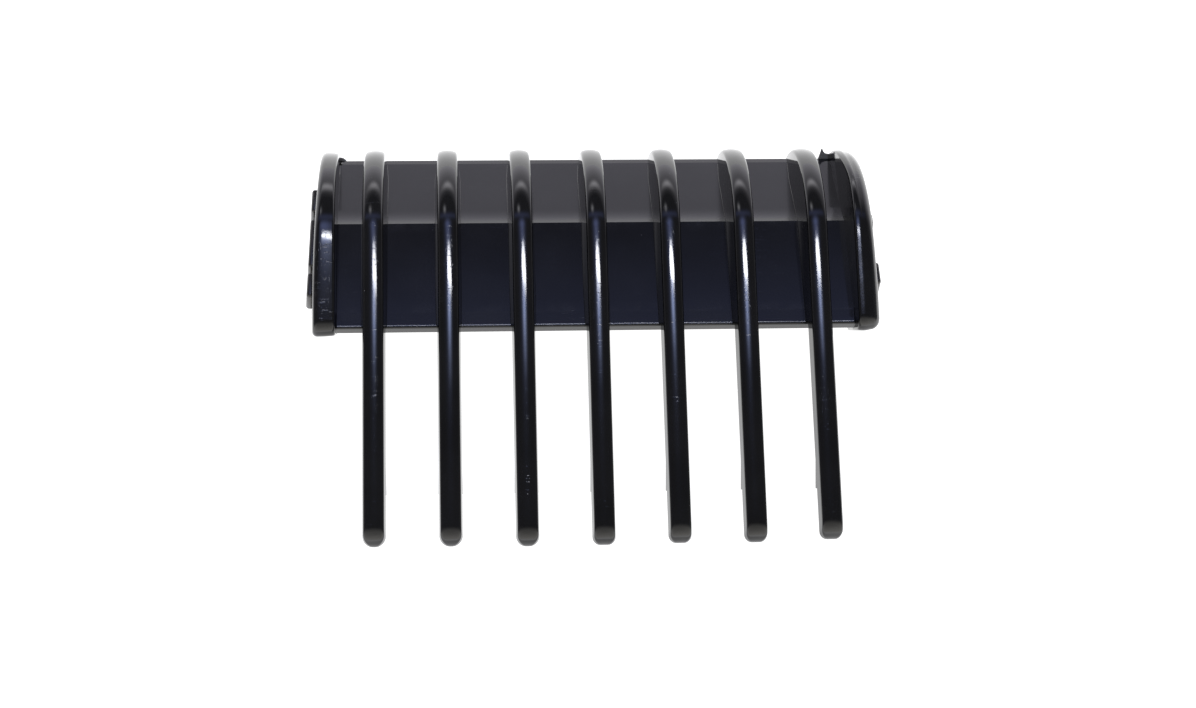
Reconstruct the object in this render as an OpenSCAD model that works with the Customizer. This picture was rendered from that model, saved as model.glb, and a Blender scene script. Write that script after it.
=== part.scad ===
// Guide comb for a hair clipper: one gloss black moulding with seven tines,
// a bent web panel, two end cheeks and the rails that hold it on a blade.
// X runs across the tines, Y from the tips to the heel, Z up to the skin side.
// The origin is at the middle of the footprint, on the plane it rests on.

/* [Tines] */
// Distance between neighbouring tines
tine_pitch = 6.6; // [6.2:0.1:7.2]
// Width of a tine across its nose
tine_w = 1.84; // [1.6:0.02:2]
// Length of the straight part of a tine
tine_l = 28.2; // [24:0.1:32]
// Fall of the straight part towards the tip, in degrees
tine_lean = 9; // [7:0.5:11]
// Depth of a tine where it leaves the panel
tine_root_d = 2; // [1.8:0.05:2.3]
// Depth of a tine at its tip
tine_tip_d = 1.65; // [1.6:0.05:1.8]
// Draft of the sides of a tine, in degrees
tine_draft = 5.5; // [3:0.5:6]
// Radius of the crowned nose of a tine
crown_r = 2.2; // [1.8:0.1:3]
// Radius between the crown and the sides
shoulder_r = 0.35; // [0.25:0.05:0.4]

/* [Heel] */
// Radius of the curve over the heel, which is also the overall height
heel_r = 10; // [9.5:0.1:10.5]
// How far the heel ends of the tines stay above the resting plane
heel_gap = 0.3; // [0.2:0.1:0.6]

/* [Panel] */
// Height of the blade seat, which is the back of the lower panel
seat_z = 5; // [4.6:0.1:5.2]
// Thickness of the panel
panel_t = 1.2; // [1:0.05:1.3]
// Distance from the heel centre to the lower edge of the panel
lip_reach = 9.6; // [9:0.1:10]
// Width of the rounded lip along the lower edge
lip_w = 1.5; // [1:0.1:2]
// Distance from the heel centre to the crease
crease_y = 0.6; // [0:0.1:1]
// Slope of the upper panel, in degrees
upper_slope = 26.2; // [25:0.1:27]
// Length of the upper panel from the crease to its top edge
upper_l = 9.75; // [9:0.05:9.9]
// Width of the bead along the top edge
bead_w = 0.8; // [0.6:0.1:1.2]
// Radius of the rounded edges of the lip and the bead
edge_r = 0.3; // [0.2:0.05:0.4]

/* [Cheeks] */
// Clear width between the cheeks, for the clipper's blade
inner_w = 46.3; // [45:0.1:47]
// Half of the overall width at the base of the cheeks
cheek_base_x = 25.7; // [25.5:0.05:26.5]
// Outward flare of the outer faces towards the base, in degrees
cheek_flare = 5; // [4:0.5:8]
// Narrowing of the outer faces towards the heel, in degrees
cheek_taper = 2; // [1:0.1:3]
// How far the rims of the cheeks stay below the noses of the tines
rim_drop = 0.12; // [0.05:0.01:0.3]
// Distance from the heel centre to the lower end of a cheek, at its base
cheek_reach = 7.8; // [7:0.1:8.5]
// Lean of the lower end of a cheek, in degrees
cheek_end_lean = 22; // [15:1:25]
// Radius of the lower front corner of a cheek
cheek_front_r = 1.2; // [0.8:0.1:1.6]
// Radius of the lower base corner of a cheek
cheek_base_r = 1; // [0.5:0.1:1.5]
// Flare of the pocket behind the panel, in degrees
pocket_flare = 5; // [3:0.5:6]

/* [Blade rails] */
// Thickness of blade that fits between the rails and the seat
blade_slot = 2.5; // [2:0.1:3]
// Thickness of a rail
rail_t = 1.3; // [1:0.1:1.6]
// How far a rail reaches in from the side of the pocket
rail_reach = 1.4; // [1:0.1:1.8]
// Length of a rail
rail_l = 8.5; // [6:0.5:9]
// Distance from the heel centre to the entry end of a rail
rail_start = 6.3; // [6:0.1:6.5]
// Height of the snap bump on a rail
bump_h = 0.3; // [0.2:0.05:0.4]

/* [Small details] */
// Height of the wedge stop behind each tine
stop_h = 0.5; // [0.3:0.05:0.6]
// Length of the ramp of the wedge stop
stop_l = 2.5; // [2:0.1:3]
// Distance from the tip to the step of the wedge stop
stop_from_tip = 4.7; // [4:0.1:5.5]
// Height of the raised marks on the outer faces
mark_h = 0.4; // [0.3:0.05:0.6]
// Thickness of the corner nibs
nib_t = 0.45; // [0.3:0.05:0.6]
// Distance of the corner nibs from the cheeks
nib_gap = 0.2; // [0.1:0.05:0.5]

/* [Hidden] */
$fn = 64;

black = [0.07, 0.075, 0.09];
near_black = [0.1, 0.105, 0.12];
grey_black = [0.14, 0.145, 0.16];

tine_count = 7;
inner_x = inner_w / 2;
big = 60;                       // longer than anything it cuts

// Tip of a tine, in its own length and depth
tip_front_r = 1.4;              // corner between nose and end
tip_back_r = 0.15;              // corner between end and back
tip_side_r = 0.8;               // corners seen from the skin side
tip_lap = 0.01;                 // keeps the corners from being only tangent to the nose and end

// Places measured from the heel centre, along Y and Z
panel_z = seat_z + panel_t;
top_y = crease_y + upper_l * cos(upper_slope);
top_z = panel_z - upper_l * sin(upper_slope);
end_y = top_y - panel_t * sin(upper_slope);
end_z = top_z - panel_t * cos(upper_slope);
crease_back_y = crease_y - panel_t * tan(upper_slope / 2);
bead_y = top_y - bead_w * cos(upper_slope);
bead_z = top_z + bead_w * sin(upper_slope);

// The heel centre sits where the footprint's middle comes out at zero
tip_reach = heel_r * sin(tine_lean) + (tine_l - tip_front_r) * cos(tine_lean)
          + tip_front_r * (1 - sin(tine_lean));
heel_y = (tip_reach - heel_r) / 2;

// Widths of a tine at its shoulders and behind them
tine_side_x = tine_w / 2;
shoulder_x = tine_side_x - shoulder_r;
shoulder_lap = 0.003;           // keeps the shoulder from being only tangent to its neighbours
shoulder_v = sqrt(pow(crown_r - shoulder_r, 2) - pow(shoulder_x, 2)) - crown_r;
crown_x = shoulder_x * crown_r / (crown_r - shoulder_r);
crown_v = (shoulder_v + crown_r) * crown_r / (crown_r - shoulder_r) - crown_r;
draft_d = 2.8;                  // depth over which the sides widen
side_x = shoulder_x + shoulder_r * cos(tine_draft);
side_v = shoulder_v + shoulder_r * sin(tine_draft);
tine_back_x = side_x + (draft_d + side_v) * tan(tine_draft);
section_d = 6;                  // depth of the section, past the panel

// Raised marks: start along the cheek and length, in place of any lettering
mark_z = 4;
mark_w = 3;
left_marks = [[-7, 2.8], [-4, 5.05], [1.35, 2.45]];
right_marks = [[-6, 2.1], [-0.4, 1.4]];

// Corner nibs: foot, back and point, as Y and Z from the heel centre
function nib_foot(y) = [y, panel_z - (y - crease_y) * tan(upper_slope)];
nib_top = nib_foot(top_y - edge_r);
right_nib = [nib_foot(8.7), nib_top, [9.9, 2.9]];
left_nib = [nib_foot(8.7), nib_top, [9.6, 2.4]];

function unit(v) = v / norm(v);

// Points of one rounded corner p between its neighbours a and b
function corner(a, p, b, r, steps = 12) =
    let (u = unit(a - p), w = unit(b - p), half = acos(u * w) / 2)
    let (c = p + unit(u + w) * r / sin(half), t1 = p + u * r / tan(half), t2 = p + w * r / tan(half))
    let (a1 = atan2(t1[1] - c[1], t1[0] - c[0]), a2 = atan2(t2[1] - c[1], t2[0] - c[0]))
    let (turn = a2 - a1 > 180 ? a2 - a1 - 360 : a2 - a1 < -180 ? a2 - a1 + 360 : a2 - a1)
    r == 0 ? [p] : [for (i = [0 : steps]) c + r * [cos(a1 + turn * i / steps), sin(a1 + turn * i / steps)]];

// A closed outline whose corners are rounded, each by its own radius
function rounded(pts, radii) =
    let (n = len(pts))
    [for (i = [0 : n - 1]) each corner(pts[(i + n - 1) % n], pts[i], pts[(i + 1) % n], radii[i],
                                       radii[i] > 3 ? 48 : 12)];

// Draws its 2D child in the Y-Z plane about the heel centre and extrudes it along X
module along_x(x0, x1) {
    translate([x0, heel_y, 0]) rotate([90, 0, 90]) linear_extrude(x1 - x0) children();
}

// Places a 2D child given in a tine's length and outward depth
module tine_axes() {
    translate(heel_r * [-sin(tine_lean), cos(tine_lean)]) rotate(tine_lean) mirror([1, 0]) children();
}

// Cross-section of a tine, with its nose at the origin
module tine_section() {
    intersection() {
        translate([0, -crown_r]) circle(crown_r);
        translate([-crown_x, -crown_r]) square([2 * crown_x, 2 * crown_r]);
    }
    for (side = [-1, 1])
        translate([side * shoulder_x, shoulder_v]) circle(shoulder_r + shoulder_lap);
    polygon([[crown_x, crown_v], [-crown_x, crown_v], [-side_x, side_v],
             [-tine_back_x, -draft_d], [-tine_back_x, -section_d],
             [tine_back_x, -section_d], [tine_back_x, -draft_d], [side_x, side_v]]);
}

// The section set out on the heel radius, with its nose facing outwards
module turned_section() {
    translate([heel_r, 0]) rotate(-90) tine_section();
}

// The section carried down the straight part and over the heel
module tine_sweep() {
    translate([0, heel_y, 0]) rotate([90, 0, 90]) rotate(90 + tine_lean) rotate([180, 0, 0]) {
        rotate([90, 0, 0]) linear_extrude(tine_l + 1) turned_section();
        rotate_extrude(angle = 90 + tine_lean) turned_section();
    }
}

function back_v(s) = -tine_root_d + (tine_root_d - tine_tip_d) * s / tine_l;

// Side outline of a tine's free length, with its rounded tip and wedge stop
module finger_outline() {
    step = tine_l - stop_from_tip;
    ramp = step - stop_l;
    front_s = tine_l - tip_front_r;
    back_s = tine_l - tip_back_r;
    back_c = back_v(tine_l) + tip_back_r;
    translate([front_s, tip_lap - tip_front_r]) circle(tip_front_r);
    translate([back_s, back_c]) circle(tip_back_r + shoulder_lap);
    polygon([[-1, 1], [-1, -tine_root_d], [ramp, back_v(ramp)], [step, back_v(step) - stop_h],
             [step, back_v(step)], [back_s, back_v(back_s)], [tine_l, back_c],
             [tine_l, tip_lap - tip_front_r], [front_s, 0], [front_s, 1]]);
}

// Side outline of what stands in front of the panel and round its top edge
module rib_outline() {
    lip = [-lip_reach, panel_z];
    crease = [crease_y, panel_z];
    polygon(concat(corner(lip - [0, 1], lip, crease, edge_r), [crease],
                   corner(crease, [top_y, top_z], [end_y, end_z], edge_r),
                   [[end_y, end_z], [end_y, heel_gap], [heel_r + 1, heel_gap],
                    [heel_r + 1, heel_r + 1], [-lip_reach, heel_r + 1]]));
}

// Plan outline that rounds the two side corners of the tip
module tip_plan() {
    end_x = tine_back_x - tip_side_r;
    side_s = tine_l - tip_side_r + 2 * tip_lap;
    translate([-tine_pitch / 2, -big]) square([tine_pitch, big + side_s]);
    translate([-end_x, 0]) square([2 * end_x, tine_l + tip_lap]);
    for (side = [-1, 1])
        translate([side * end_x, side_s]) circle(tip_side_r);
}

module tine(i) {
    x = (i - (tine_count + 1) / 2) * tine_pitch;
    color(black) translate([x, 0, 0]) intersection() {
        tine_sweep();
        along_x(-tine_pitch / 2, tine_pitch / 2) {
            rib_outline();
            tine_axes() finger_outline();
        }
        translate([0, heel_y - heel_r * sin(tine_lean), heel_r * cos(tine_lean)])
            rotate([tine_lean, 0, 0]) mirror([0, 1, 0])
                translate([0, 0, -big / 2]) linear_extrude(big) tip_plan();
    }
}

module lower_panel() {
    color(near_black) along_x(-inner_x, inner_x)
        polygon([[lip_w - lip_reach, seat_z], [lip_w - lip_reach, panel_z],
                 [crease_y, panel_z], [crease_back_y, seat_z]]);
}

module upper_panel() {
    bead_back = [bead_y - panel_t * sin(upper_slope), bead_z - panel_t * cos(upper_slope)];
    color(grey_black) along_x(-inner_x, inner_x)
        polygon([[crease_y, panel_z], [bead_y, bead_z], bead_back, [crease_back_y, seat_z]]);
}

module panel_lip() {
    color(near_black) along_x(-inner_x, inner_x)
        polygon(rounded([[-lip_reach, seat_z], [-lip_reach, panel_z],
                         [lip_w - lip_reach, panel_z], [lip_w - lip_reach, seat_z]],
                        [0, edge_r, 0, 0]));
}

module top_edge_bead() {
    color(grey_black) along_x(-inner_x, inner_x)
        polygon(rounded([[bead_y, bead_z], [top_y, top_z], [end_y, end_z],
                         [bead_y - panel_t * sin(upper_slope), bead_z - panel_t * cos(upper_slope)]],
                        [0, edge_r, 0, 0]));
}

// Side outline of a cheek: leaning lower end, straight front and quarter-round heel
module cheek_outline() {
    rim_r = heel_r - rim_drop;
    front = rim_r / cos(tine_lean);         // height of the front line above the heel centre
    low_y = (-cheek_reach - front * tan(cheek_end_lean)) / (1 + tan(tine_lean) * tan(cheek_end_lean));
    intersection() {
        circle(rim_r + shoulder_lap);
        translate([-rim_r / 2, 0]) square([2 * rim_r, 2 * rim_r]);
    }
    polygon(rounded([[0, 0], rim_r * [-sin(tine_lean), cos(tine_lean)],
                     [low_y, front + low_y * tan(tine_lean)], [-cheek_reach, 0]],
                    [0, 0, cheek_front_r, cheek_base_r]));
}

// Places its child on the outer face of the right cheek, with the face at X = 0
module outer_face() {
    translate([cheek_base_x, heel_y, 0]) rotate([0, -cheek_flare, cheek_taper]) children();
}

module cheek_solid() {
    difference() {
        along_x(inner_x, cheek_base_x + 5) cheek_outline();
        outer_face() translate([0, -big / 2, -big / 2]) cube([big, big, big]);
        translate([0, big / 2, 0]) rotate([90, 0, 0]) linear_extrude(big)
            polygon([[inner_x - 1, seat_z], [inner_x, seat_z],
                     [inner_x + (seat_z + 1) * tan(pocket_flare), -1], [inner_x - 1, -1]]);
    }
}

module cheek(side) {
    color(black) mirror([side < 0 ? 1 : 0, 0, 0]) cheek_solid();
}

// A rail that runs under the end of the blade, with a lead-in and a snap bump
module guide_rail(side) {
    rail_z = seat_z - blade_slot - rail_t;
    rail_x = inner_x - rail_reach;
    lead = 1;
    color(near_black) mirror([side < 0 ? 1 : 0, 0, 0]) difference() {
        union() {
            translate([0, heel_y - rail_start, rail_z]) linear_extrude(rail_t)
                polygon([[rail_x + lead, 0], [inner_x + 1, 0], [inner_x + 1, rail_l],
                         [rail_x, rail_l], [rail_x, lead]]);
            translate([rail_x, heel_y - rail_start + 2 * lead, rail_z + rail_t + bump_h - 0.5])
                rotate([0, 90, 0]) cylinder(h = rail_reach + 0.3, r = 0.5);
        }
        cheek_solid();
    }
}

// Plain bars on the outer face of a cheek
module raised_marks(side, marks) {
    color(black) mirror([side < 0 ? 1 : 0, 0, 0]) outer_face()
        for (m = marks)
            translate([0, m[0], mark_z]) cube([mark_h, m[1], mark_w]);
}

// A thin pointed nib on the panel's top edge, beside a cheek
module corner_nib(side, points) {
    color(grey_black) mirror([side < 0 ? 1 : 0, 0, 0])
        along_x(inner_x - nib_gap - nib_t, inner_x - nib_gap) polygon(points);
}

tine(1);  // tine_1
tine(2);  // tine_2
tine(3);  // tine_3
tine(4);  // tine_4
tine(5);  // tine_5
tine(6);  // tine_6
tine(7);  // tine_7
lower_panel();
upper_panel();
panel_lip();
top_edge_bead();
cheek(-1);  // left_cheek
cheek(1);  // right_cheek
guide_rail(-1);  // left_guide_rail
guide_rail(1);  // right_guide_rail
raised_marks(-1, left_marks);  // left_raised_marks
raised_marks(1, right_marks);  // right_raised_marks
corner_nib(-1, left_nib);  // left_corner_nib
corner_nib(1, right_nib);  // right_corner_nib
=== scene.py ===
import math
import bmesh
import bpy
from mathutils import Matrix, Vector


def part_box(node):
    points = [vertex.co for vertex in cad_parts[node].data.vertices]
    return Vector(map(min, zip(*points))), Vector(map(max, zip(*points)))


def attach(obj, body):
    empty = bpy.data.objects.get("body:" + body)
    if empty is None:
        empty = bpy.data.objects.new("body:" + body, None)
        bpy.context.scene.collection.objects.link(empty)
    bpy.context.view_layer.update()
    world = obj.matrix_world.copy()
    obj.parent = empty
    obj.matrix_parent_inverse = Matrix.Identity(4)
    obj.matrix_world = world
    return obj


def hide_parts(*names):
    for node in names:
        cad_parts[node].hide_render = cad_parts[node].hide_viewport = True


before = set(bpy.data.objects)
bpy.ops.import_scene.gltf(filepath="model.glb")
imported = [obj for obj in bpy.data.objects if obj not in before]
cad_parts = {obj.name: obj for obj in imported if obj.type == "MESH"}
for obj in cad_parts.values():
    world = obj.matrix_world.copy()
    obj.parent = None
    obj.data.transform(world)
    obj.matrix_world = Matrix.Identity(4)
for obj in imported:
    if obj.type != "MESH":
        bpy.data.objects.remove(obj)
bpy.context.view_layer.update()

MM = 0.001
FLATTEN = 0.9995                 # keeps every curve inside the facets of the CAD model
SHARP = 38                       # edges that turn by more degrees than this stay crisp
rad = math.radians

# ---------------------------------------------------------------- dimensions
# The frame gives the places below that are read by edge(). The rest are the driving values of
# the CAD model, and shapes that only this file has.
HEEL_R = 10.0
LEAN = rad(9)
TINE_L = 28.2
TINE_W = 1.84
ROOT_D, TIP_D, TIP_R, NOSE_R = 2.0, 1.65, 1.4, 1.62
DRAFT = rad(5.5)
CROWN_R, SHOULDER_R = 2.2, 0.35
HEEL_Y = (HEEL_R * math.sin(LEAN) + (TINE_L - TIP_R) * math.cos(LEAN)
          + TIP_R * (1 - math.sin(LEAN)) - HEEL_R) / 2


def edge(node, end, axis):
    """Lowest (end 0) or highest (end 1) place of a CAD node along x, y or z (axis 0, 1 or 2),
    in millimetres, and along y from the heel centre."""
    start = HEEL_Y if axis == 1 else 0
    return round(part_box(node)[end][axis] / MM - start, 3)


PITCH = round(edge("tine_2", 0, 0) - edge("tine_1", 0, 0), 3)
HEEL_GAP = edge("tine_1", 0, 2)  # between the ends of the heels and the rest plane
SEAT_Z, PANEL_Z = edge("lower_panel", 0, 2), edge("lower_panel", 1, 2)
PANEL_T = round(PANEL_Z - SEAT_Z, 3)
LIP_REACH = -edge("panel_lip", 0, 1)
LIP_W = round(edge("panel_lip", 1, 1) + LIP_REACH, 3)
CREASE_Y, SLOPE, UPPER_L, BEAD_W = edge("lower_panel", 1, 1), rad(26.2), 9.75, 0.8
INNER_X = edge("right_cheek", 0, 0)  # half the clear width between the cheeks
BASE_X, FLARE, TAPER = 25.7, rad(5), rad(2)
BOW, BOW_MIDDLE, BOW_HALF = 0.3, -1, 9.5
RIM_R = 9.88
FRONT_A = 99.0                   # degrees round the heel at which the straight front starts
CHEEK_REACH, CHEEK_END_LEAN = 7.8, rad(22)
CHEEK_BASE_R, CHEEK_FRONT_R = 1.0, 1.2
POCKET_FLARE = rad(5)
STOP_S, STOP_L, STOP_H = TINE_L - 4.7, 2.5, 0.5

TOP = (CREASE_Y + UPPER_L * math.cos(SLOPE), PANEL_Z - UPPER_L * math.sin(SLOPE))
END = (TOP[0] - PANEL_T * math.sin(SLOPE), TOP[1] - PANEL_T * math.cos(SLOPE))


# ---------------------------------------------------------------- mesh helpers
def meshed(verts, faces):
    """A bmesh of vertices and faces."""
    bm = bmesh.new()
    points = [bm.verts.new(v) for v in verts]
    for f in faces:
        bm.faces.new([points[i] for i in f])
    return bm


def unpacked(bm, side):
    """Vertices and faces of a bmesh, which is freed. Side -1 mirrors them across x."""
    bm.verts.index_update()
    verts = [(v.co.x * side, v.co.y, v.co.z) for v in bm.verts]
    faces = [[v.index for v in f.verts] for f in bm.faces]
    bm.free()
    return verts, faces


def build(name, verts, faces, mat, node):
    """A piece from vertices in millimetres, given from the heel centre along Y."""
    bm = meshed([(x * MM, (y + HEEL_Y) * MM, z * MM * FLATTEN) for x, y, z in verts], faces)
    bmesh.ops.remove_doubles(bm, verts=bm.verts, dist=1e-7)
    bmesh.ops.recalc_face_normals(bm, faces=bm.faces)
    mesh = bpy.data.meshes.new(name)
    bm.to_mesh(mesh)
    bm.free()
    mesh.materials.append(mat)
    for p in mesh.polygons:
        p.use_smooth = True
    mesh.set_sharp_from_angle(angle=rad(SHARP))
    obj = bpy.data.objects.new(name, mesh)
    bpy.context.scene.collection.objects.link(obj)
    wn = obj.modifiers.new("even_normals", "WEIGHTED_NORMAL")
    wn.keep_sharp = True
    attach(obj, "root")
    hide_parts(node)


def loft(loops):
    """Vertices and faces of a closed skin through loops of equal length."""
    n = len(loops[0])
    verts = [p for loop in loops for p in loop]
    faces = []
    for k in range(len(loops) - 1):
        for i in range(n):
            j = (i + 1) % n
            faces.append([k * n + i, k * n + j, (k + 1) * n + j, (k + 1) * n + i])
    faces.append(list(range(n)))
    faces.append(list(range((len(loops) - 1) * n, len(loops) * n)))
    return verts, faces


def arc(cx, cy, r, a0, a1, n):
    return [(cx + r * math.cos(rad(a0 + (a1 - a0) * i / n)),
             cy + r * math.sin(rad(a0 + (a1 - a0) * i / n))) for i in range(n + 1)]


def corner(a, p, b, r, n):
    """Points of the corner p between a and b, rounded by r."""
    a, p, b = Vector(a), Vector(p), Vector(b)
    u, w = (a - p).normalized(), (b - p).normalized()
    half = math.acos(max(-1, min(1, u.dot(w)))) / 2
    c = p + (u + w).normalized() * r / math.sin(half)
    t1, t2 = p + u * r / math.tan(half), p + w * r / math.tan(half)
    a1 = math.atan2(t1.y - c.y, t1.x - c.x)
    a2 = math.atan2(t2.y - c.y, t2.x - c.x)
    turn = (a2 - a1 + math.pi) % (2 * math.pi) - math.pi
    return [(c.x + r * math.cos(a1 + turn * i / n), c.y + r * math.sin(a1 + turn * i / n))
            for i in range(n + 1)]


def inset(r, t):
    """How far a corner of radius r has drawn in, at t from the end."""
    return 0 if t >= r else r - math.sqrt(max(0, r * r - (r - t) ** 2))


# ---------------------------------------------------------------- node trees
class Nodes:
    """The emptied node tree of a material or world, with short calls for adding nodes."""

    def __init__(self, owner):
        owner.use_nodes = True
        self.tree = owner.node_tree
        self.tree.nodes.clear()

    def put(self, socket, value):
        """Link a socket to another node's output, or set it: a colour has three numbers."""
        if isinstance(value, bpy.types.NodeSocket):
            self.tree.links.new(value, socket)
        elif socket.type == "RGBA":
            socket.default_value = (*value, 1)
        else:
            socket.default_value = value

    def add(self, kind, inputs=(), **settings):
        """A new node, with its inputs by name or number."""
        node = self.tree.nodes.new("ShaderNode" + kind)
        for key, value in settings.items():
            setattr(node, key, value)
        for key, value in dict(inputs).items():
            self.put(node.inputs[key], value)
        return node

    def math(self, op, *values):
        return self.add("Math", enumerate(values), operation=op).outputs[0]

    def product(self, first, *rest):
        for value in rest:
            first = self.math("MULTIPLY", first, value)
        return first

    def plus(self, first, *terms):
        """The first value, plus each mask times its amount."""
        for mask, amount in terms:
            first = self.math("ADD", first, self.math("MULTIPLY", mask, amount))
        return first

    def span(self, value, a, b, lo, hi, kind="LINEAR"):
        """The value mapped from the range a to b to the range lo to hi."""
        ends = {"Value": value, "From Min": a, "From Max": b, "To Min": lo, "To Max": hi}
        return self.add("MapRange", ends, interpolation_type=kind).outputs[0]

    def ease(self, value, a, b, lo, hi):
        return self.span(value, a, b, lo, hi, "SMOOTHSTEP")

    def bell(self, value, middle, width):
        """1 at the middle, falling to 1/e at the width."""
        t = self.math("MULTIPLY", self.math("SUBTRACT", value, middle), 1 / width)
        return self.math("EXPONENT", self.product(t, t, -1.0))

    def noise(self, place, scale, detail):
        return self.add("TexNoise", {"Vector": place, "Scale": scale,
                                     "Detail": detail}).outputs["Fac"]

    def blend(self, factor, a, b):
        """Colour a, which turns into colour b as the factor goes to 1."""
        node = self.add("Mix", {"Factor": factor}, data_type="RGBA")
        ends = [s for s in node.inputs if s.type == "RGBA"]
        self.put(ends[0], a)
        self.put(ends[1], b)
        return [s for s in node.outputs if s.type == "RGBA"][0]


# ---------------------------------------------------------------- materials
BLACK = (0.0042, 0.0043, 0.0048)
RUBBED, SCRATCHED, DUSTY = (0.035, 0.036, 0.041), (0.09, 0.092, 0.10), (0.30, 0.30, 0.31)
MOTTLE_PALER = 1.6               # how much paler the mottle's light parts are
RELIEF = 0.000012                # metres


def scuffs(n, mapped, amount):
    """A mask of hairline scuffs in two directions, in patches."""
    patches = n.span(n.noise(mapped(), 130, 1), 0.5, 0.68, 0, 1)
    first = n.span(n.noise(mapped((1, 9, 1), (0, 0, 0.5)), 900, 2), 0.655, 0.70, 0, 1)
    second = n.span(n.noise(mapped((8, 1, 1), (0, 0, -0.35)), 1100, 2), 0.665, 0.71, 0, 1)
    return n.product(n.math("MAXIMUM", first, second), patches, amount)


def dust(n, place):
    """A mask of small specks, in patches."""
    cells = n.add("TexVoronoi", {"Vector": place, "Scale": 520}).outputs["Distance"]
    return n.product(n.span(cells, 0.028, 0.02, 0, 1),
                     n.span(n.noise(place, 300, 1), 0.52, 0.6, 0, 1))


def wear(n, place):
    """A mask of the edges, where they are rubbed."""
    edges = n.add("NewGeometry").outputs["Pointiness"]
    return n.product(n.span(edges, 0.53, 0.62, 0, 1),
                     n.span(n.noise(place, 700, 3), 0.45, 0.65, 0.15, 0.8))


def plastic(name, rough, scuff, seed, grain=0.3, base=BLACK, ior=1.5, tint=(1, 1, 1)):
    """Gloss black moulded plastic: moulding mottle, fine scuffs, worn edges and dust."""
    material = bpy.data.materials.new(name)
    n = Nodes(material)
    spot = n.add("TexCoord").outputs["Object"]
    shift = (seed * 0.013, seed * 0.007, seed * 0.011)

    def mapped(scale=(1, 1, 1), turn=(0, 0, 0)):
        return n.add("Mapping", {"Vector": spot, "Location": shift, "Rotation": turn,
                                 "Scale": scale}).outputs[0]

    place = mapped()
    mottle = n.noise(place, 220, 2)
    hairs, specks, worn = scuffs(n, mapped, scuff), dust(n, place), wear(n, place)

    paler = tuple(c * MOTTLE_PALER for c in base)
    colour = n.blend(n.span(mottle, 0.35, 0.65, 0, 1), base, paler)
    for mask, amount, over in ((worn, 0.5, RUBBED), (hairs, 0.25, SCRATCHED), (specks, 0.6, DUSTY)):
        colour = n.blend(n.math("MULTIPLY", mask, amount), colour, over)
    # roughness follows the mottle and rises on scuffs, worn edges and dust
    roughness = n.plus(n.span(mottle, 0.3, 0.7, rough * 0.75, rough * 1.4),
                       (hairs, 0.14), (worn, 0.04), (specks, 0.5))
    # relief: fine grain, slow waves, scuffs cut in and dust standing up
    height = n.plus(n.math("MULTIPLY", n.noise(place, 5200, 4), grain * 0.12),
                    (n.noise(place, 420, 1), 1.2 * grain), (hairs, -1.2), (specks, 1.5))
    bump = n.add("Bump", {"Strength": 0.35, "Distance": RELIEF, "Height": height})
    shader = n.add("BsdfPrincipled", {"Base Color": colour, "Roughness": roughness, "IOR": ior,
                                      "Specular Tint": tint, "Normal": bump.outputs[0]})
    n.add("OutputMaterial", {"Surface": shader.outputs[0]})
    return material


# ---------------------------------------------------------------- tines
SHO_X = TINE_W / 2 - SHOULDER_R
SHO_V = math.sqrt((CROWN_R - SHOULDER_R) ** 2 - SHO_X ** 2) - CROWN_R
CROWN_A = math.degrees(math.asin(SHO_X / (CROWN_R - SHOULDER_R)))
SIDE_X = SHO_X + SHOULDER_R * math.cos(DRAFT)
SIDE_V = SHO_V + SHOULDER_R * math.sin(DRAFT)
DRAFT_END = -2.8                 # below this depth the sides run parallel
BACK_R, FOOT_R = 0.2, 0.03       # back corner of a free tine, and fillet at the panel
FOOT_SINK = 0.15                 # how far a tine's foot runs on into the panel
SIDE_GAP = 0.34                  # from a tine's back up to where its side starts

# how much shorter than the rest each tine came out of the mould
SHORT = (0.15, 0.1, 0.0, 0.0, 0.05, 0.0, 0.15)
# corner radius of the tips seen from above, and of the rounder ones by number
TIP_SIDE_R, ROUND_TIPS = 0.7, {1: 0.95, 2: 0.95, 3: 0.9}
TIP_BACK_R = 0.03
LIP_DEPTH = 2.4                  # depth at which a tine's back meets the lip
# stations along a tine: from its tip, from the tangent point, and from the lip
TIP_STATIONS = (0, 0.015, 0.03, 0.07, 0.12, 0.19, 0.28, 0.4, 0.54, 0.7, 0.88, 1.07, 1.27,
                1.47, 1.65)
OUTER_STATIONS = (26.0, 25.2, 24.4, 23.8, STOP_S + 0.12, STOP_S + 0.05)
STOP_STATIONS = ((STOP_S + 0.02, 0.3), (STOP_S - 0.01, 0.08), (STOP_S - 0.06, 0.02),
                 (STOP_S - 0.14, 0))
INNER_STATIONS = (22.9, 22.3, 21.7, 21.2, STOP_S - STOP_L, 20.6, 19, 17, 15, 13, 11, 9.6)
LIP_STATIONS = (0.5, 0.3, 0.16, 0.06, -0.02, -0.1, -0.2, -0.35, -0.6)
PANEL_STEP = 1.2
# rounding at the end of each heel: its sides, its nose and its back
HEEL_SIDE_R, HEEL_NOSE_R, HEEL_BACK_R = 0.3, 0.35, 0.2
FAR = 1e9                        # stands for a panel that isn't met


def smooth(k):
    """0 to 1 with a soft start and end."""
    k = min(1, max(0, k))
    return k * k * (3 - 2 * k)


def side_at(v):
    """Half-width of a tine at depth v (negative inwards)."""
    return SIDE_X + (SIDE_V - max(v, DRAFT_END)) * math.tan(DRAFT)


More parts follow.
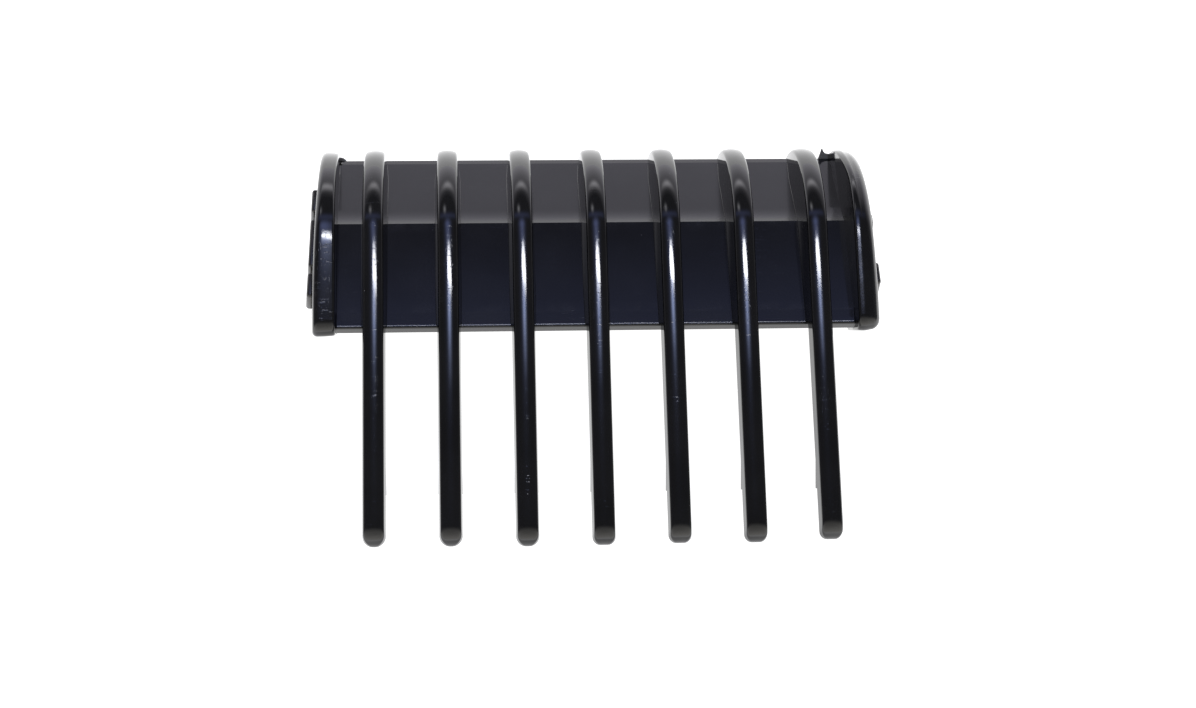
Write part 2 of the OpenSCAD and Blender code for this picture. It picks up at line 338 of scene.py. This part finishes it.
def section(depth, foot):
    """Right half of a tine's section, from the nose to the back: foot 0 has a rounded
    back corner, foot 1 a concave fillet on to the panel."""
    pts = arc(0, -CROWN_R, CROWN_R, 90, 90 - CROWN_A, 5)
    pts += arc(SHO_X, SHO_V, SHOULDER_R, 90 - CROWN_A, math.degrees(DRAFT), 7)[1:]
    pts.append((side_at(SIDE_V - 0.06), SIDE_V - 0.06))
    top = SIDE_V - 0.1
    bottom = min(top, -depth + SIDE_GAP)
    for i in range(1, 4):
        v = top + (bottom - top) * i / 3
        pts.append((side_at(v), v))
    free_w, foot_w = side_at(-depth + BACK_R), side_at(-depth + FOOT_R)
    free = arc(free_w - BACK_R, -depth + BACK_R, BACK_R, 0, -90, 5)
    foot_pts = arc(foot_w + FOOT_R, -depth + FOOT_R, FOOT_R, 180, 270, 5)
    pts += [(a[0] * (1 - foot) + b[0] * foot, a[1] * (1 - foot) + b[1] * foot)
            for a, b in zip(free, foot_pts)]
    pts.append((pts[-1][0] * 0.97, -depth - FOOT_SINK * foot))
    pts.append((0, -depth - FOOT_SINK * foot))
    return pts


def panel_depth(point, normal):
    """Depth below the nose, along -normal, at which the panel's front is met."""
    y, z = point
    ny, nz = normal
    best = FAR
    d = (z - PANEL_Z) / nz if nz > 1e-6 else FAR
    if d > 0 and y - d * ny <= CREASE_Y:
        best = min(best, d)
    # the upper panel: a plane through the crease, falling at SLOPE
    py, pz = math.sin(SLOPE), math.cos(SLOPE)
    off = CREASE_Y * py + PANEL_Z * pz
    k = ny * py + nz * pz
    if k > 1e-6:
        d = (y * py + z * pz - off) / k
        if d > 0 and CREASE_Y <= y - d * ny <= TOP[0]:
            best = min(best, d)
    return best


def heel_step(left):
    """Degrees to the next station over the heel with so many left: finer near the end."""
    return 2.2 if left > 5 else (1.0 if left > 2.5 else 0.45)


def straight(s):
    """Point and normal on the nose of a tine's straight part, s from the tangent point."""
    point = (-HEEL_R * math.sin(LEAN) - s * math.cos(LEAN),
             HEEL_R * math.cos(LEAN) - s * math.sin(LEAN))
    return point, (-math.sin(LEAN), math.cos(LEAN))


def back(s):
    """Depth of a free tine's back, with the wedge of its stop."""
    depth = ROOT_D - (ROOT_D - TIP_D) * s / TINE_L
    if STOP_S - STOP_L < s < STOP_S:
        depth += STOP_H * (s - STOP_S + STOP_L) / STOP_L
    return depth


# a station is a point and a normal on the nose, the depth of the back, the share of the foot,
# and how far the sides, the nose and the back are drawn in
def straight_stations(i):
    """Stations of tine i from its tip to the tangent point."""
    tip_s = TINE_L - SHORT[i - 1]
    side_r = ROUND_TIPS.get(i, TIP_SIDE_R)
    stations = []
    for t in TIP_STATIONS:
        stations.append((*straight(tip_s - t), back(tip_s - t), 0,
                         inset(side_r, t), inset(NOSE_R, t), inset(TIP_BACK_R, t)))
    for s in OUTER_STATIONS:
        stations.append((*straight(s), back(s), 0, 0, 0, 0))
    for s, cut in STOP_STATIONS:
        stations.append((*straight(s), back(min(s, STOP_S - 0.001)) - cut, 0, 0, 0, 0))
    for s in INNER_STATIONS:
        stations.append((*straight(s), back(s), 0, 0, 0, 0))
    lip_s = (LIP_REACH - HEEL_R * math.sin(LEAN) + LIP_DEPTH * math.sin(LEAN)) / math.cos(LEAN)
    for ds in LIP_STATIONS:
        p, n = straight(lip_s + ds)
        k = smooth((0.3 - ds) / 0.6)
        depth = back(lip_s + ds) * (1 - k) + panel_depth(p, n) * k
        stations.append((p, n, depth, k, 0, 0, 0))
    s = lip_s - PANEL_STEP
    while s > 0.4:
        p, n = straight(s)
        stations.append((p, n, panel_depth(p, n), 1, 0, 0, 0))
        s -= PANEL_STEP
    return stations


def heel_stations():
    """Stations over the heel, from the end of the straight part down to the rest plane."""
    last = math.degrees(math.asin(HEEL_GAP / HEEL_R))
    brink = math.degrees(math.atan2(TOP[1], TOP[0]))
    stations = []
    a = FRONT_A
    while a > last + 0.01:
        n = (math.cos(rad(a)), math.sin(rad(a)))
        p = (HEEL_R * n[0], HEEL_R * n[1])
        # below the panel's top edge the back of the heel runs straight down
        free = HEEL_R - END[0] / n[0] if a < 60 else FAR
        deep = panel_depth(p, n)
        if deep == FAR:
            deep = free
        k = smooth((a - brink + 1.5) / 5)
        t = HEEL_R * rad(a - last)
        stations.append((p, n, deep * k + min(free, deep) * (1 - k), k, inset(HEEL_SIDE_R, t),
                         inset(HEEL_NOSE_R, t), inset(HEEL_BACK_R, t)))
        a -= heel_step(a - last)
    n = (math.cos(rad(last)), math.sin(rad(last)))
    p = (HEEL_R * n[0], HEEL_R * n[1])
    stations.append((p, n, HEEL_R - END[0], 0, HEEL_SIDE_R, HEEL_NOSE_R, HEEL_BACK_R))
    return stations


def tine(i):
    """One tine, lofted from the tip to the end of its heel."""
    middle = (i - 4) * PITCH
    loops = []
    for p, n, depth, foot, side_in, nose_in, back_in in straight_stations(i) + heel_stations():
        half = section(depth, foot)
        full = half + [(-x, v) for x, v in reversed(half[1:-1])]
        width = side_at(-depth)
        loop = []
        for x, v in full:
            x *= (width - side_in) / width
            v = -nose_in + v * (depth - nose_in - back_in) / depth
            loop.append((middle + x, p[0] + n[0] * v, p[1] + n[1] * v))
        loops.append(loop)
    return loft(loops)


for i in range(1, 8):
    tine_mat = plastic("black_gloss_tine_%d" % i, rough=0.045, scuff=0.35, seed=3.1 * i)
    build("tine_%d_form" % i, *tine(i), tine_mat, "tine_%d" % i)


# ---------------------------------------------------------------- the bent panel
CREASE = (CREASE_Y, PANEL_Z)
BACK_Y = CREASE_Y - PANEL_T * math.tan(SLOPE / 2)
UP = (math.cos(SLOPE), -math.sin(SLOPE))
BEAD = (TOP[0] - BEAD_W * UP[0], TOP[1] - BEAD_W * UP[1])
BEAD_BACK = (END[0] - BEAD_W * UP[0], END[1] - BEAD_W * UP[1])
# how far the panel's ends run on into the cheeks, and how far near the rounded heel
RUN_IN, HEEL_RUN_IN, HEEL_FROM_Y = 0.45, 0.3, 8.4


def strip(front, back, fillet=0.06):
    """A prism across the comb. Its front runs up on to the cheeks in a small fillet."""
    xs = [0.0, INNER_X - fillet, INNER_X + RUN_IN]
    for k in range(1, 7):
        xs.append(INNER_X - fillet + fillet * math.sin(rad(90 * k / 6)))
        xs.append(PITCH / 2 * k)
    xs = sorted({round(v, 5) for v in xs})
    xs = [-v for v in reversed(xs) if v > 0] + xs
    loops = []
    n = len(front)
    for x in xs:
        t = min(fillet, max(0, abs(x) - (INNER_X - fillet)))
        rise = fillet - math.sqrt(max(0, fillet * fillet - t * t))
        loop = []
        for k, (y, z) in enumerate(front):
            a, b = front[max(0, k - 1)], front[min(n - 1, k + 1)]
            ty, tz = b[0] - a[0], b[1] - a[1]
            ln = math.hypot(ty, tz)
            end = INNER_X + (RUN_IN if y < HEEL_FROM_Y else HEEL_RUN_IN)
            loop.append((max(-end, min(end, x)), y - tz / ln * rise, z + ty / ln * rise))
        end = INNER_X + HEEL_RUN_IN
        loop += [(max(-end, min(end, x)), y, z) for y, z in back]
        loops.append(loop)
    return loft(loops)


def walk(a, b, n):
    """n equal steps from a to b."""
    return [(a[0] + (b[0] - a[0]) * i / n, a[1] + (b[1] - a[1]) * i / n) for i in range(n + 1)]


panel_mat = plastic("black_gloss_panel", rough=0.07, scuff=0.3, seed=40)
# the same plastic as the panel, but its reflections are weaker (lower IOR) and tinted blue-purple:
# painted shade and a painted reflection colour, so that the upper panel looks darker and more
# purple
upper_mat = plastic("black_gloss_upper_panel", rough=0.13, scuff=0.25, seed=47,
                    ior=1.37, tint=(0.95, 0.95, 1.05))
lip_mat = plastic("black_gloss_edges", rough=0.12, scuff=0.5, seed=53)

low = (LIP_W - LIP_REACH, PANEL_Z)
build("lower_panel_form", *strip(walk(low, CREASE, 8),
      [(BACK_Y, SEAT_Z), (low[0], SEAT_Z)]), panel_mat, "lower_panel")
# the upper panel leaves the crease at 36 degrees and eases to 25 over its first 1.9 mm
BEND_FIRST, BEND_LAST, BEND_EASE, BEND_STEPS, BEND_STEP = 36, 25, 1.5, 16, 0.12
bend = [CREASE]
for k in range(BEND_STEPS):
    share = (1 - (k + 0.5) / BEND_STEPS) ** BEND_EASE
    lean = rad(BEND_LAST + (BEND_FIRST - BEND_LAST) * share)
    bend.append((bend[-1][0] + BEND_STEP, bend[-1][1] - BEND_STEP * math.tan(lean)))
build("upper_panel_form", *strip(bend + walk(bend[-1], BEAD, 8)[1:],
      [BEAD_BACK, (BACK_Y, SEAT_Z)]), upper_mat, "upper_panel")
# the lip's front corner, and a narrow band behind it that slopes up to the panel
LIP_CORNER_R, LIP_LOW_R, BAND_STEP = 0.14, 0.2, 0.035
BAND_LEANS = [11 - 0.5 * k for k in range(8)] + [3.0, 1.5]   # degrees, from the corner back
lip_front = corner((-LIP_REACH, SEAT_Z), (-LIP_REACH, PANEL_Z - 0.05),
                   (-LIP_REACH + 1, PANEL_Z + 0.144), LIP_CORNER_R, 8)
y, z = lip_front[-1]
for lean in BAND_LEANS:
    y, z = y + BAND_STEP, min(PANEL_Z, z + BAND_STEP * math.tan(rad(lean)))
    lip_front.append((y, z))
lip_front = [(a, b + PANEL_Z - lip_front[-1][1]) for a, b in lip_front]
lip_low = corner(low[:1] + (SEAT_Z,), (-LIP_REACH, SEAT_Z), (-LIP_REACH, PANEL_Z), LIP_LOW_R, 5)
build("panel_lip_form", *strip(lip_low + lip_front + walk(lip_front[-1], low, 4)[1:],
      [(low[0], SEAT_Z)], 0.1), lip_mat, "panel_lip")
BEAD_TOP_R, BEAD_LOW_R = 0.35, 0.25
bead_top = corner(BEAD, TOP, END, BEAD_TOP_R, 8)
bead_low = corner(TOP, END, BEAD_BACK, BEAD_LOW_R, 6)
build("top_edge_bead_form", *strip([BEAD] + bead_top, bead_low + [BEAD_BACK], 0.3),
      lip_mat, "top_edge_bead")


# ---------------------------------------------------------------- cheeks
NRM = Vector((math.cos(FLARE) * math.cos(TAPER), math.cos(FLARE) * math.sin(TAPER),
              math.sin(FLARE)))


def outer_x(y, z):
    """Outer face of a cheek, flared, tapered and bowed."""
    return BASE_X - (y * NRM.y + z * NRM.z) / NRM.x - BOW * ((y - BOW_MIDDLE) / BOW_HALF) ** 2


def inner_x(z):
    """Inner wall of a cheek, flared below the blade's seat."""
    return INNER_X + max(0, SEAT_Z - z) * math.tan(POCKET_FLARE)


# how much steeper than the tines the straight front of each cheek runs, in degrees
DROP = {-1: 1.4, 1: 1.3}
# how far the inner wall of each cheek leans in over the heel
HEEL_PULL = {-1: 0.05, 1: 0.35}
# length, easing and step of the straight front, and the small round at the foot of the heel
FRONT_L, FRONT_EASE, FRONT_STEP = 9.65, 1.6, 0.2
HEEL_END_Y, HEEL_END_R = 9.367, 0.5
# rounding of the rim's inner and outer edges, its crown, and its tilt towards the inside
RIM_SHAPE = {-1: (0.25, 0.45, 0.02, 0.06), 1: (0.22, 0.9, 0.05, -0.06)}
WALL_DRAW = 0.12                 # how far the flat walls stand back from the rim's edges
ROUND_STEPS = 6
HEEL_STEP, HEEL_END_A = 2.0, 3.2  # degrees between points round the heel, and the last of them


def cheek_outline(side):
    """Side outline of a cheek: base, leaning end, straight front and heel."""
    front = RIM_R / math.cos(LEAN)
    k = math.tan(CHEEK_END_LEAN)
    toe = (-CHEEK_REACH, 0)
    low_y = (toe[0] - front * k) / (1 + math.tan(LEAN) * k)
    low_p = (low_y, front + low_y * math.tan(LEAN))
    t = (-RIM_R * math.sin(LEAN), RIM_R * math.cos(LEAN))
    drop = rad(DROP[side])
    low_p = (low_p[0], low_p[1] - (FRONT_L - FRONT_EASE / 2) * math.tan(drop))
    nose = corner(toe, low_p, t, CHEEK_FRONT_R, 10)
    pts = corner((5, 0), toe, low_p, CHEEK_BASE_R, 8)
    pts += walk(pts[-1], nose[0], 5)[1:-1]
    pts += nose
    # the straight front, which takes up the drop over FRONT_EASE from the heel
    end, run = pts[-1], []
    y, z = t
    while y - FRONT_STEP > end[0] + 0.1:
        u = smooth((t[0] - y + FRONT_STEP / 2) / FRONT_EASE)
        y, z = y - FRONT_STEP, z - FRONT_STEP * math.tan(LEAN + drop * u)
        run.append((y, z))
    pts += reversed(run)
    a = FRONT_A
    while a > HEEL_END_A:
        pts.append((RIM_R * math.cos(rad(a)), RIM_R * math.sin(rad(a))))
        a -= HEEL_STEP
    pts += arc(HEEL_END_Y, HEEL_END_R, HEEL_END_R, 0, -90, 6)
    pts += walk(pts[-1], (-6.5, 0), 7)[1:]
    return pts


def offset(pts, d):
    """The outline drawn inwards by d."""
    n, out = len(pts), []
    for i in range(n):
        a, p, b = Vector(pts[i - 1]), Vector(pts[i]), Vector(pts[(i + 1) % n])
        e1, e2 = (p - a), (b - p)
        if e1.length < 1e-6 or e2.length < 1e-6:
            out.append(pts[i])
            continue
        n1, n2 = Vector((e1.y, -e1.x)).normalized(), Vector((e2.y, -e2.x)).normalized()
        nn = (n1 + n2).normalized()
        k = d / max(0.5, nn.dot(n1))
        q = p + nn * k
        out.append((q.x, q.y))
    return out


def clockwise(ring):
    """The ring, turned round if it runs anticlockwise."""
    area = sum(ring[i - 1][0] * ring[i][1] - ring[i][0] * ring[i - 1][1] for i in range(len(ring)))
    return ring[::-1] if area > 0 else ring


def cheek(side):
    """A cheek, lofted across its rim from the inner wall to the outer one."""
    ring = clockwise(cheek_outline(side))
    inner_r, outer_r, crown, tilt = RIM_SHAPE[side]
    t_in, t_out = max(tilt, 0), max(-tilt, 0)
    layers = [("in", 0.0, inner_r + crown + t_in + WALL_DRAW)]
    for k in range(ROUND_STEPS + 1):
        a = rad(90 * k / ROUND_STEPS)
        layers.append(("in", inner_r * (1 - math.cos(a)),
                       crown + t_in + inner_r * (1 - math.sin(a))))
    for f in (0.2, 0.35, 0.5, 0.65, 0.8):
        layers.append(("mid", f, crown * (abs(f - 0.5) / 0.5) ** 2 + t_in * (1 - f) + t_out * f))
    for k in range(ROUND_STEPS, -1, -1):
        a = rad(90 * k / ROUND_STEPS)
        layers.append(("out", outer_r * (1 - math.cos(a)),
                       crown + t_out + outer_r * (1 - math.sin(a))))
    layers.append(("out", 0.0, outer_r + crown + t_out + WALL_DRAW))
    loops = []
    for kind, value, draw in layers:
        loop = []
        for y, z in offset(ring, draw):
            wall = outer_x(y, z)
            a, b = INNER_X + inner_r, wall - outer_r
            x = {"in": INNER_X + value, "out": wall - value, "mid": a + (b - a) * value}[kind]
            loop.append((x, y, z))
        loops.append(loop)
    # the pocket's flare starts at the seat: cut an edge there, then lean the inner wall
    bm = meshed(*loft(loops))
    bmesh.ops.bisect_plane(bm, geom=bm.verts[:] + bm.edges[:] + bm.faces[:], dist=1e-5,
                           plane_co=(0, 0, SEAT_Z), plane_no=(0, 0, 1))
    for v in bm.verts:
        wall = outer_x(v.co.y, v.co.z)
        w = max(0, min(1, (wall - v.co.x) / (wall - INNER_X)))
        u = smooth((v.co.y - 3) / 5)   # 0 beside the pocket, 1 at the heel
        v.co.x += w * ((inner_x(v.co.z) - INNER_X) * (1 - u) - HEEL_PULL[side] * u)
    return unpacked(bm, side)


cheek_mats = {-1: plastic("black_gloss_left_cheek", rough=0.045, scuff=0.6, grain=0.4, seed=61),
              1: plastic("black_gloss_right_cheek", rough=0.10, scuff=2.2, grain=2.4, seed=68)}
for side, word in ((-1, "left"), (1, "right")):
    build(word + "_cheek_form", *cheek(side), cheek_mats[side], word + "_cheek")


# ---------------------------------------------------------------- raised marks, rails and nibs
FACE = (Matrix.Translation((BASE_X, 0, 0)) @ Matrix.Rotation(TAPER, 4, "Z")
        @ Matrix.Rotation(-FLARE, 4, "Y"))
# start and length of each mark along the cheek, its height, and the span that it covers in z
LEFT_MARKS = ((-6.8, 2.4), (-3.9, 4.75), (1.5, 2.3))
RIGHT_MARKS = ((-6.0, 2.1), (-0.4, 1.4))
MARK_H, MARK_LOW, MARK_TOP, MARK_R, MARK_ROOT = 0.4, 4.0, 7.0, 0.28, 0.3


def mark(side, start, length):
    """A raised bar with rounded edges on the outer face of a cheek."""
    lo, hi = (-MARK_ROOT, start, MARK_LOW), (MARK_H, start + length, MARK_TOP)
    bm = bmesh.new()
    bmesh.ops.create_cube(bm, size=1)
    for v in bm.verts:
        v.co = Vector([lo[k] if v.co[k] < 0 else hi[k] for k in range(3)])
    bmesh.ops.bevel(bm, geom=bm.edges[:] + bm.verts[:], offset=MARK_R, segments=5, profile=0.5,
                    affect="EDGES", clamp_overlap=True)
    bm.transform(FACE)
    return unpacked(bm, side)


def joined(*parts):
    """Several sets of vertices and faces as one."""
    verts, faces = [], []
    for v, f in parts:
        k = len(verts)
        verts += v
        faces += [[i + k for i in g] for g in f]
    return verts, faces


mark_mat = plastic("black_gloss_marks", base=(0.016, 0.015, 0.015), rough=0.26, scuff=0.6,
                   grain=0.5, seed=71)
for side, word, marks in ((-1, "left", LEFT_MARKS), (1, "right", RIGHT_MARKS)):
    bars = [mark(side, start, length) for start, length in marks]
    build(word + "_raised_marks_form", *joined(*bars), mark_mat, word + "_raised_marks")

rail_mat = plastic("black_satin_rails", rough=0.22, scuff=0.6, grain=0.7, seed=75)
RAIL_X, RAIL_Y, RAIL_Z = (edge("right_guide_rail", 0, axis) for axis in range(3))
RAIL_LEN = round(edge("right_guide_rail", 1, 1) - RAIL_Y, 3)
RAIL_T, RAIL_ROOT, RAIL_SOFT, BUMP_R, BUMP_H = 1.3, 0.35, 0.15, 0.5, 0.3


def rail(side):
    """A guide rail with a slanted lead-in, soft edges and a rounded snap bump."""
    plan = corner((RAIL_X, 0), (RAIL_X, RAIL_Y + 1), (RAIL_X + 1, RAIL_Y), 0.4, 5)
    plan += [(INNER_X + RAIL_ROOT, RAIL_Y), (INNER_X + RAIL_ROOT, RAIL_Y + RAIL_LEN)]
    plan += corner((INNER_X, RAIL_Y + RAIL_LEN), (RAIL_X, RAIL_Y + RAIL_LEN), (RAIL_X, 0), 0.3, 5)
    plan = clockwise(plan)
    soft = [(RAIL_SOFT * (1 - math.cos(rad(a))), RAIL_SOFT * (1 - math.sin(rad(a))))
            for a in (0, 22.5, 45, 67.5, 90)]
    layers = [(RAIL_Z + rise, draw) for rise, draw in soft]
    layers += [(RAIL_Z + RAIL_T - rise, draw) for rise, draw in reversed(soft)]
    body = loft([[(x * side, y, z) for x, y in offset(plan, draw)] for z, draw in layers])
    bump = []
    xs = [RAIL_X + 0.05, RAIL_X + 0.09, RAIL_X + 0.2, RAIL_X + 1.0, RAIL_X + 1.5]
    for x, s in zip(xs, (0.6, 0.85, 1, 1, 1)):
        bump.append([(x * side, RAIL_Y + 2 + BUMP_R * s * math.cos(rad(t)),
                      RAIL_Z + RAIL_T + BUMP_H - BUMP_R + BUMP_R * s * math.sin(rad(t)))
                     for t in range(0, 360, 20)])
    return joined(body, loft(bump))


for side, word in ((-1, "left"), (1, "right")):
    build(word + "_guide_rail_form", *rail(side), rail_mat, word + "_guide_rail")

# the nibs are the same black plastic as the rest; their mid-grey colour is painted light, so that
# they look lit
nib_mat = plastic("black_gloss_nibs", base=(0.2, 0.2, 0.2), rough=0.35, scuff=0.4, seed=83)
NIB_FOOT_Y, NIB_SINK = 9.05, 0.05  # where a nib starts, and how far it sinks into the panel


def nib(side, tip, steps):
    """A thin scrap of flash on the panel's top edge, in the corner beside a cheek."""
    rear_y = TOP[0] - 0.1
    foot, rear = [(y, PANEL_Z - (y - CREASE_Y) * math.tan(SLOPE) - NIB_SINK)
                  for y in (NIB_FOOT_Y, rear_y)]
    low = (foot[0] + 0.02, foot[1] - 0.25)
    loops = []
    for x, t in steps:
        a = (foot[0] + (tip[0] - foot[0]) * t, foot[1] + (tip[1] - foot[1]) * t)
        b = (rear[0] + (tip[0] - rear[0]) * t, rear[1] + (tip[1] - rear[1]) * t)
        loops.append([(x * side, q[0], q[1]) for q in
                      (low, foot, a, (b[0] - 0.02 * t, b[1] + 0.03), (b[0], b[1] - 0.02), rear)])
    return loft(loops)


# outline of each nib across the comb: x, and height as a share of the whole
RIGHT_NIB = ((21.85, 0.02), (22.0, 0.5), (22.1, 0.93), (22.18, 0.95), (22.3, 0.66), (22.5, 0.46),
             (22.75, 0.42), (23.2, 0.4), (23.5, 0.38), (INNER_X + 0.6, 0.3))
LEFT_NIB = ((22.6, 0.02), (22.75, 0.22), (22.9, 0.36), (23.05, 0.42), (23.3, 0.42),
            (INNER_X + 0.5, 0.3))
build("right_corner_nib_form", *nib(1, (9.86, 2.8), RIGHT_NIB), nib_mat, "right_corner_nib")
build("left_corner_nib_form", *nib(-1, (9.7, 2.45), LEFT_NIB), nib_mat, "left_corner_nib")


# ---------------------------------------------------------------- floor, light and camera
FLOOR_DROP = 0.00003             # metres below the comb, so that the two never share a plane


def sheet_material():
    """White sheet, lit from within so that it burns out as in an overexposed picture."""
    material = bpy.data.materials.new("white_sheet")
    n = Nodes(material)
    cloudy = n.add("TexNoise", {"Scale": 30}).outputs["Fac"]
    # the sheet is evenly white to look at, but its glow is dimmer under the comb than farther out:
    # a painted shadow of the comb, which the gloss reflects
    place = n.add("VectorMath", {0: n.add("TexCoord").outputs["Object"], 1: (0, 0.010, 0)},
                  operation="ADD").outputs[0]
    away = n.add("VectorMath", {0: place}, operation="LENGTH").outputs["Value"]
    shader = n.add("BsdfPrincipled", {
        "Base Color": n.span(cloudy, 0, 1, 0.20, 0.24), "Roughness": 0.7,
        "Emission Color": (1, 1, 1), "Emission Strength": n.ease(away, 0.022, 0.046, 1.05, 1.9)})
    n.add("OutputMaterial", {"Surface": shader.outputs[0]})
    return material


def lay_sheet():
    """The white sheet under the comb."""
    bm = bmesh.new()
    bmesh.ops.create_grid(bm, x_segments=8, y_segments=8, size=2.5)
    mesh = bpy.data.meshes.new("floor")
    bm.to_mesh(mesh)
    bm.free()
    mesh.materials.append(sheet_material())
    floor = bpy.data.objects.new("floor", mesh)
    floor.location = (0, 0, -FLOOR_DROP)
    bpy.context.scene.collection.objects.link(floor)


def hang_lamp():
    """A long thin soft lamp above the comb, a metre off, with its long side along X."""
    centre = Vector((0, HEEL_Y * MM, 0.006))
    long, wide, distance, radiance = 0.34, 0.022, 1.0, 33
    data = bpy.data.lights.new("strip_lamp", "AREA")
    data.shape = "ELLIPSE"
    data.size, data.size_y = long, wide
    data.energy = radiance * math.pi * (long * wide * (math.pi / 4))
    data.color = (0.98, 0.98, 1.0)
    lamp = bpy.data.objects.new("strip_lamp", data)
    d = Vector((0.076, 0.107, 0.992)).normalized()
    x = Vector((1, 0, 0))
    x = (x - d * x.dot(d)).normalized()
    turn = Matrix((x, d.cross(x), d)).transposed()
    lamp.matrix_world = Matrix.Translation(centre + d * distance) @ turn.to_4x4()
    lamp.visible_camera = False
    bpy.context.scene.collection.objects.link(lamp)


def furnish_room():
    """The room as the gloss sees it, by direction, and plain white to the camera."""
    world = bpy.data.worlds.new("room")
    bpy.context.scene.world = world
    n = Nodes(world)
    dx, dy, dz = n.add("SeparateXYZ", {0: n.add("TexCoord").outputs["Generated"]}).outputs
    ahead = n.ease(dy, 0.15, 0.55, 0.06, 1.0)
    upward = n.ease(dz, 0.0, 0.05, 0.0, 1.0)
    glows = (
        # the near side of the room
        ((1.8, 1.75, 1.62), n.ease(dy, -0.12, -0.6, 0.0, 1.0), n.ease(dz, -0.1, 1.0, 1.0, 0.35)),
        # a spot that catches the shoulders of the tines
        ((2.3, 2.3, 2.45), n.bell(dx, -0.21, 0.085), n.bell(dy, 0.47, 0.06), upward),
        # a pale backdrop behind the heel that fades upwards, and a window in it
        ((1.98, 1.94, 2.10), ahead, n.span(dz, 0.0, 0.72, 1.0, 0.0)),
        ((2.9, 2.85, 3.0), n.bell(dz, 0.515, 0.070), n.bell(dx, 0.02, 0.30),
         n.ease(dy, 0.0, 0.3, 0.0, 1.0)),
        # a narrow and a broad bluish glow round the lamp, and one on the ceiling
        ((4.8, 5.8, 9.6), n.bell(dx, 0.06, 0.12), n.bell(dy, 0.098, 0.022), upward),
        ((1.05, 1.30, 2.7), n.bell(dx, 0.0, 0.20), n.bell(dy, 0.19, 0.09), upward),
        ((0.26, 0.32, 0.72), n.bell(dx, 0.0, 0.8), n.bell(dy, 0.36, 0.05),
         n.ease(dz, 0.6, 0.8, 0.0, 1.0)),
    )
    light = (0.125, 0.125, 0.14)     # all round, before the glows are added
    for colour, *masks in glows:
        glow = n.add("VectorMath", {0: colour, "Scale": n.product(*masks)}, operation="SCALE")
        light = n.add("VectorMath", {0: light, 1: glow.outputs[0]}, operation="ADD").outputs[0]
    seen = n.add("Background", {"Color": (1, 1, 1)})
    room = n.add("Background", {"Color": light})
    by_camera = n.add("LightPath").outputs["Is Camera Ray"]
    both = n.add("MixShader", {0: by_camera, 1: room.outputs[0], 2: seen.outputs[0]})
    n.add("OutputWorld", {"Surface": both.outputs[0]})


def set_camera():
    """The camera looks down at 68 degrees, turned a little, on the 1196 x 708 frame."""
    yaw, roll, pitch = rad(3.82), rad(0.67), rad(21.97)
    spot = Vector((-12.42, -9.08, 195.3))     # from the heel centre, before the pitch
    level = Matrix(((math.cos(yaw), 0, math.sin(yaw)), (0, 1, 0),
                    (-math.sin(yaw), 0, math.cos(yaw))))
    turn = Matrix(((math.cos(roll), -math.sin(roll), 0), (math.sin(roll), math.cos(roll), 0),
                   (0, 0, 1)))
    tilt = Matrix.Rotation(pitch, 3, "X")
    data = bpy.data.cameras.new("camera")
    data.lens, data.sensor_width = 63.09, 36
    data.clip_start = 0.01
    camera = bpy.data.objects.new("camera", data)
    spot = tilt @ spot
    camera.matrix_world = (Matrix.Translation(Vector((spot.x, spot.y + HEEL_Y, spot.z)) * MM)
                           @ (tilt @ (turn @ level).transposed()).to_4x4())
    bpy.context.scene.collection.objects.link(camera)
    bpy.context.scene.camera = camera


lay_sheet()
hang_lamp()
furnish_room()
set_camera()
bpy.context.scene.view_settings.view_transform = "Standard"

bpy.context.view_layer.update()
